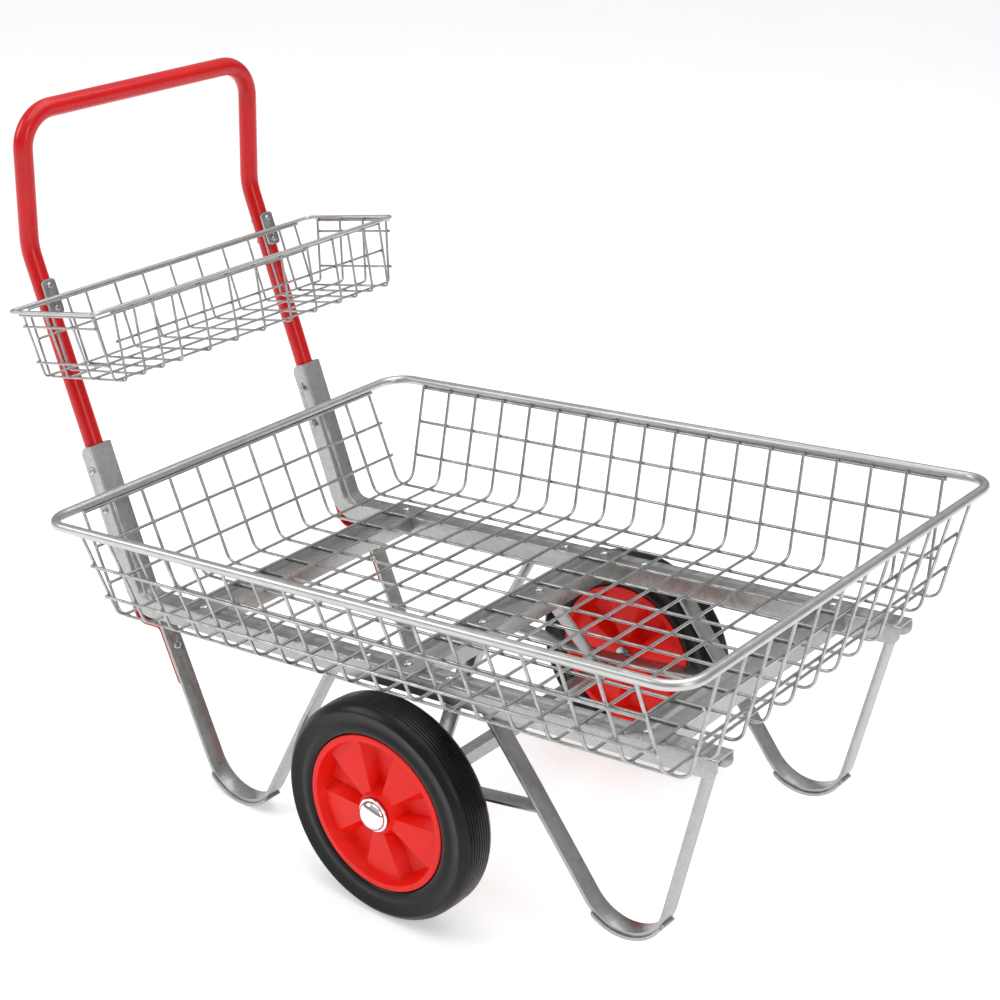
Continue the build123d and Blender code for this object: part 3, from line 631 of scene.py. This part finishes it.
def hub_mesh(centre, out, turn):
    """Both faces of the hub with its bore and rim; turn is where its first sector stands."""
    rows = hub_rows()
    angles = hub_angles()
    verts = []
    faces = []
    count = len(angles)
    for face in (1, -1):
        for radius in rows:
            drop = 0.9 if radius == HUB_R else (0.25 if radius == 102.5 else 0.0)
            for angle in angles:
                depth = hub_depth(radius, angle) + drop
                a = radians(angle + turn)
                offset = face * (HALF_HUB - depth)
                spot = Vector((radius * cos(a), out * offset, radius * sin(a)))
                verts.append(centre + spot * MM)
    size = len(rows) * count

    def quad(a, b, c, d, flip):
        faces.append((a, d, c, b) if flip else (a, b, c, d))

    for f in range(2):
        for j in range(len(rows) - 1):
            for k in range(count):
                n = (k + 1) % count
                base = f * size
                quad(base + j * count + k, base + j * count + n,
                     base + (j + 1) * count + n, base + (j + 1) * count + k, f)
    for j in (0, len(rows) - 1):
        for k in range(count):
            n = (k + 1) % count
            quad(j * count + k, j * count + n, size + j * count + n, size + j * count + k, j)
    return mesh_from("hub", verts, faces, 28)


def cap_profile():
    """Domed axle cap with a rolled flange."""
    flange = [(0.01, 0.0), (20.8, 0.0), (21.7, 0.3), (22.0, 0.9), (21.7, 1.5), (20.9, 1.8),
              (19.9, 1.7), (19.3, 2.0)]
    dome = []
    for i in range(1, 13):
        a = pi / 2 * i / 12
        dome.append((19.2 * cos(a) ** 0.8 if i < 12 else 0.01, 2.0 + 9.0 * sin(a)))
    return flange + dome


HUB_TURN = {"left": 27.0, "right": 57.8}   # degrees from +X at rest
for side, out in WHEEL_SIDES.items():
    centre = wheel_centre(side)
    verts, faces = lathe(tyre_profile(), 144, centre, out)
    add_piece("tyre_ribbed_" + side, mesh_from("tyre", verts, faces, 40), "wheel_" + side,
              "rubber", ["tyre_" + side])
    add_piece("hub_moulded_" + side, hub_mesh(centre, out, HUB_TURN[side]), "wheel_" + side,
              "red_plastic", ["hub_" + side])
    seat = centre + Vector((0, out * (HALF_HUB + WASHER_GAP) * MM, 0))
    verts, faces = lathe(cap_profile(), 64, seat, out)
    cap = mesh_from("cap", verts, faces, 45)
    add_piece("axle_cap_" + side, cap, "frame", "chrome", ["hub_caps"] if side == "left" else ())


# ---------------------------------------------------------------- bolts, screws and nuts

def islands(mesh):
    """Corner points of each separate solid in a mesh."""
    work = bmesh.new()
    work.from_mesh(mesh)
    bmesh.ops.remove_doubles(work, verts=work.verts, dist=2e-6)
    left = set(work.verts)
    found = []
    while left:
        open_verts = [left.pop()]
        points = []
        while open_verts:
            vert = open_verts.pop()
            points.append(tuple(vert.co))
            for edge in vert.link_edges:
                other = edge.other_vert(vert)
                if other in left:
                    left.discard(other)
                    open_verts.append(other)
        found.append(np.array(points))
    work.free()
    return sorted(found, key=lambda p: tuple(p.mean(0).round(4)))


def head_height(radius, angle, head, rise):
    """A pan head with a cross recess: height over the seat, in millimetres."""
    share = min(1.0, radius / head)
    dome = rise * (1 - share ** 3.2) ** 0.55 if share < 1.0 else 0.0
    x, y = abs(radius * cos(angle)), abs(radius * sin(angle))
    reach, half = head * 0.52, head * 0.11
    inside = max(min(reach - x, half - y), min(reach - y, half - x))
    return dome - min(1.0, max(0.0, inside / (0.06 * head))) * rise * 0.45


def ring_faces(faces, start, rings, count):
    """Faces between rings of points that follow one another."""
    for i in range(rings - 1):
        for k in range(count):
            n = (k + 1) % count
            a = start + i * count
            faces.append((a + k, a + n, a + count + n, a + count + k))


HEAD_RISE = 0.55              # height of a head, in its radii
HEAD_SIDES = 48
THREAD_SIDES = 24
TAIL = 7.0                    # nut and bolt end together
HEAD_RADII = (0.02, 0.05, 0.08, 0.11, 0.14, 0.2, 0.28, 0.36, 0.44, 0.49, 0.53, 0.57, 0.64, 0.72,
              0.8, 0.87, 0.93, 0.97, 0.995, 1.0)


def put_fastener(verts, faces, seat, end, axis, radius, head):
    """A cross-recessed bolt from its seat down to its threaded end, with a chamfered nut."""
    side = axis.orthogonal().normalized()
    turn = random.uniform(0, 2 * pi)
    side = Matrix.Rotation(turn, 3, axis) @ side
    other = axis.cross(side)

    def put(r, a, z):
        verts.append(seat + (side * (r * cos(a)) + other * (r * sin(a)) + axis * z) * MM)

    def put_ring(r, z, count):
        for k in range(count):
            put(r, 2 * pi * k / count, z)

    rise = head * HEAD_RISE
    start = len(verts)
    for share in HEAD_RADII:
        for k in range(HEAD_SIDES):
            a = 2 * pi * k / HEAD_SIDES
            put(share * head, a, head_height(share * head, a, head, rise))
    put_ring(head * 0.2, 0.0, HEAD_SIDES)
    ring_faces(faces, start, len(HEAD_RADII) + 1, HEAD_SIDES)
    faces.append(tuple(start + k for k in range(HEAD_SIDES)))

    length = (seat - end).length / MM
    nut_top = TAIL - length
    nut_low = nut_top - radius * 1.5
    flat = radius * 1.9 * cos(pi / 6)
    start = len(verts)
    put_ring(flat * 0.98 * 0.6, nut_top, HEAD_SIDES)
    put_ring(flat * 0.98, nut_top, HEAD_SIDES)
    for face_z, way in ((nut_top, -1), (nut_low, 1)):
        for k in range(HEAD_SIDES):
            a = 2 * pi * k / HEAD_SIDES
            corner = flat / cos((a % (pi / 3)) - pi / 6)
            put(corner, a, face_z + way * (corner - flat) * 0.55)
    put_ring(flat * 0.98, nut_low, HEAD_SIDES)
    put_ring(flat * 0.98 * 0.6, nut_low, HEAD_SIDES)
    ring_faces(faces, start, 6, HEAD_SIDES)

    start = len(verts)
    turns = 0
    z = nut_low + 0.2
    while z > -length + 0.6:
        put_ring(radius * (0.99 if turns % 2 else 0.86), z, THREAD_SIDES)
        turns += 1
        z -= 0.42
    put_ring(radius * 0.72, -length, THREAD_SIDES)
    ring_faces(faces, start, turns + 1, THREAD_SIDES)
    last = start + turns * THREAD_SIDES
    faces.append(tuple(last + k for k in range(THREAD_SIDES)))


def build_fasteners(node, radius, head, axis_of):
    """New bolts in the places of a node's; axis_of gives the way a bolt's head points."""
    verts = []
    faces = []
    for points in islands(NODES[node].data):
        axis = axis_of(points)
        reach = points @ np.array(axis)
        across = points - np.outer(reach, np.array(axis))
        centre = Vector(across.max(0) + across.min(0)) / 2
        centre -= axis * centre.dot(axis)
        top, low = reach.max(), reach.min()
        put_fastener(verts, faces, centre + axis * (top - head * HEAD_RISE * MM),
                     centre + axis * low, axis, radius, head)
    mesh = mesh_from(node, verts, faces, 32)
    add_piece(node + "_cross_recess", mesh, "frame", "zinc_fastener", [node])


TOE_OUT = turned(cos(radians(LEG_LEAN)), 0, sin(radians(LEG_LEAN)))
build_fasteners("frame_bolts", 3.0, 6.5, lambda points: turned(0, 0, 1))
build_fasteners("socket_bolts", 3.0, 5.5, lambda p: Vector((0, 1 if p.mean(0)[1] > 0 else -1, 0)))
build_fasteners("tray_screws", 2.5, 4.5,
                lambda points: turned(cos(radians(SLANT)), 0, sin(radians(SLANT))))
build_fasteners("toe_bolts", 3.0, 6.0, lambda points: TOE_OUT)


# ---------------------------------------------------------------- welds of the baskets

def bead(verts, faces, centre, along, across, normal, size):
    """One flattened weld nugget, a little irregular."""
    rings = 4
    around = 8
    start = len(verts)
    a, b, c = (s * random.uniform(0.88, 1.12) for s in size)
    top = centre + normal * c
    verts.append(top)
    for i in range(1, rings):
        polar = pi * i / rings
        for k in range(around):
            angle = 2 * pi * k / around
            verts.append(centre + along * (a * sin(polar) * cos(angle))
                         + across * (b * sin(polar) * sin(angle)) + normal * (c * cos(polar)))
    verts.append(centre - normal * c)
    last = len(verts) - 1
    for k in range(around):
        n = (k + 1) % around
        faces.append((start, start + 1 + k, start + 1 + n))
        for i in range(rings - 2):
            p = start + 1 + i * around
            faces.append((p + k, p + around + k, p + around + n, p + n))
        p = start + 1 + (rings - 2) * around
        faces.append((p + k, last, p + n))


def basket_welds(name, spot, half, depth, leans, wire, x_places, y_places, rows):
    """Nuggets where the wires of a basket cross; spot maps the basket's own millimetres."""
    size = (wire * 0.56 * MM, wire * 0.56 * MM, wire * 0.40 * MM)
    verts = []
    faces = []
    x_dir = (spot(1, 0, 0) - spot(0, 0, 0)).normalized()
    y_dir = Vector((0, 1, 0))
    z_dir = x_dir.cross(y_dir)
    for x in x_places:
        for y in y_places:
            bead(verts, faces, spot(x, y, -depth), x_dir, y_dir, z_dir, size)
    for wall, (reach_x, reach_y) in {"front": (1, 0), "rear": (-1, 0), "left": (0, 1),
                                     "right": (0, -1)}.items():
        lean = radians(leans[wall])
        proud = wire / 2 + wire / 4 if reach_y else wire / 4
        foot = half[0 if reach_x else 1] - proud - depth * tan(lean)
        out = x_dir * reach_x + y_dir * reach_y
        up = out * sin(lean) + z_dir * cos(lean)
        normal = out * cos(lean) - z_dir * sin(lean)
        side = up.cross(normal)
        for place in (y_places if reach_x else x_places):
            for row in rows[wall]:
                u = foot + row * sin(lean)
                z = -depth + row * cos(lean)
                at = spot(reach_x * u, place, z) if reach_x else spot(place, reach_y * u, z)
                bead(verts, faces, at, up, side, normal, size)
    mesh = mesh_from(name, verts, faces, 80)
    add_piece(name, mesh, "frame", "zinc_wire")


def spread(count, pitch, centre=0.0):
    return [centre + pitch * (i - (count - 1) / 2) for i in range(count)]


ALL_WALLS = ("left", "right", "front", "rear")
MESH = 50.0
BASKET_X = 12.0
BASKET_HALF = (489.0, 339.0)
BASKET_WIRE = 4.2
RIM_HEIGHT = 417.0
FLOOR_Z = 278.23


def basket_spot(x, y, z):
    return level(x + BASKET_X, y, RIM_HEIGHT + z)


TRAY_TILT = radians(5.4)
TRAY_LEANS = {"left": 9.5, "right": 9.5, "front": 1.0, "rear": 10.0}
TRAY_ROWS = {"left": (24.0, 74.0), "right": (24.0, 74.0), "front": (48.0,), "rear": (48.0,)}
TRAY_HALF = (83.0, 277.0)
TRAY_DEPTH = 91.0
TRAY_WIRE = 3.2
TRAY_X = spread(4, 45.0, 6.0)
TRAY_ENDS = [150.0 + 32.0 * i for i in (1, 2, 3)]
TRAY_Y = [-y for y in TRAY_ENDS[::-1]] + spread(7, MESH) + TRAY_ENDS


def tray_spot(x, y, z):
    """A point of the tray's own frame, whose middle lies between its rim rods."""
    low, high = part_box("tray_rim")
    middle = (low + high) / 2
    tilt = Matrix.Rotation(-TRAY_TILT, 3, "Y")
    return middle + LEAN @ (tilt @ Vector((x, y, z))) * MM


basket_welds("tray_welds", tray_spot, TRAY_HALF, TRAY_DEPTH, TRAY_LEANS, TRAY_WIRE, TRAY_X,
             TRAY_Y, TRAY_ROWS)
basket_welds("basket_welds", basket_spot, BASKET_HALF, RIM_HEIGHT - FLOOR_Z,
             dict.fromkeys(ALL_WALLS, 18.0), BASKET_WIRE, spread(18, MESH, -3.0),
             spread(12, MESH), dict.fromkeys(ALL_WALLS, (40.0, 90.0)))


# ---------------------------------------------------------------- floor, light and camera

FLOOR_HALF = 14.0


def make_floor():
    size = FLOOR_HALF
    mesh = bpy.data.meshes.new("floor")
    corners = [(-size, -size, 0), (size, -size, 0), (size, size, 0), (-size, size, 0)]
    mesh.from_pydata(corners, [], [(0, 1, 2, 3)])
    floor = bpy.data.objects.new("floor", mesh)
    mesh.materials.append(floor_paper())
    SCENE.collection.objects.link(floor)


def make_world():
    """Soft studio surroundings, lighter above than at the horizon."""
    world = bpy.data.worlds.new("studio")
    SCENE.world = world
    world.use_nodes = True
    tree = world.node_tree
    background = tree.nodes["Background"]
    coords = tree.nodes.new("ShaderNodeTexCoord")
    split = tree.nodes.new("ShaderNodeSeparateXYZ")
    ramp = tree.nodes.new("ShaderNodeValToRGB")
    tree.links.new(coords.outputs["Generated"], split.inputs[0])
    tree.links.new(split.outputs["Z"], ramp.inputs["Fac"])
    tree.links.new(ramp.outputs["Color"], background.inputs["Color"])
    stops = [(0.0, (0.80, 0.80, 0.80)), (0.12, (0.30, 0.30, 0.31)), (0.42, (0.85, 0.85, 0.86)),
             (1.0, (1.0, 1.0, 1.0))]
    elements = ramp.color_ramp.elements
    while len(elements) < len(stops):
        elements.new(0.5)
    for element, (at, colour) in zip(elements, stops):
        element.position = at
        element.color = (*colour, 1.0)
    background.inputs["Strength"].default_value = 0.62


def add_light(name, place, target, size, power):
    data = bpy.data.lights.new(name, "AREA")
    data.shape = "RECTANGLE"
    data.size, data.size_y = size
    data.energy = power
    light = bpy.data.objects.new(name, data)
    light.location = place
    direction = Vector(target) - Vector(place)
    light.rotation_euler = direction.to_track_quat("-Z", "Y").to_euler()
    SCENE.collection.objects.link(light)


CAMERA_PLACE = (1601.3, -1904.6, 1339.3)   # in the level frame
CAMERA_ANGLES = (39.5, 20.4, -4.15)        # turn to the left of +Y, drop and roll
CAMERA_LENS = 76.5
CAMERA_SHIFT = (-0.0229, 0.0015)


def make_camera():
    """A long lens that looks down on the cart's front right corner."""
    turn, drop, roll = (radians(a) for a in CAMERA_ANGLES)
    forward = Vector((-sin(turn) * cos(drop), cos(turn) * cos(drop), -sin(drop)))
    right = Vector((cos(turn), sin(turn), 0))
    up = right.cross(forward)
    right, up = right * cos(roll) + up * sin(roll), up * cos(roll) - right * sin(roll)
    columns = [turned(*right), turned(*up), turned(*-forward)]
    data = bpy.data.cameras.new("camera")
    data.sensor_width = 36.0
    data.lens = CAMERA_LENS
    data.shift_x, data.shift_y = CAMERA_SHIFT
    camera = bpy.data.objects.new("camera", data)
    basis = Matrix(columns).transposed().to_4x4()
    basis.translation = level(*CAMERA_PLACE)
    camera.matrix_world = basis
    SCENE.collection.objects.link(camera)
    SCENE.camera = camera


make_floor()
make_world()
add_light("overhead", (0.2, 0.1, 3.2), (0, 0, 0.3), (3.4, 3.0), 62)
add_light("window", (-2.6, -2.2, 2.2), (0, 0, 0.4), (1.6, 1.6), 30)
add_light("fill", (2.8, -1.2, 1.6), (0, 0, 0.4), (1.2, 1.6), 15)
make_camera()
SCENE.view_settings.view_transform = "Standard"
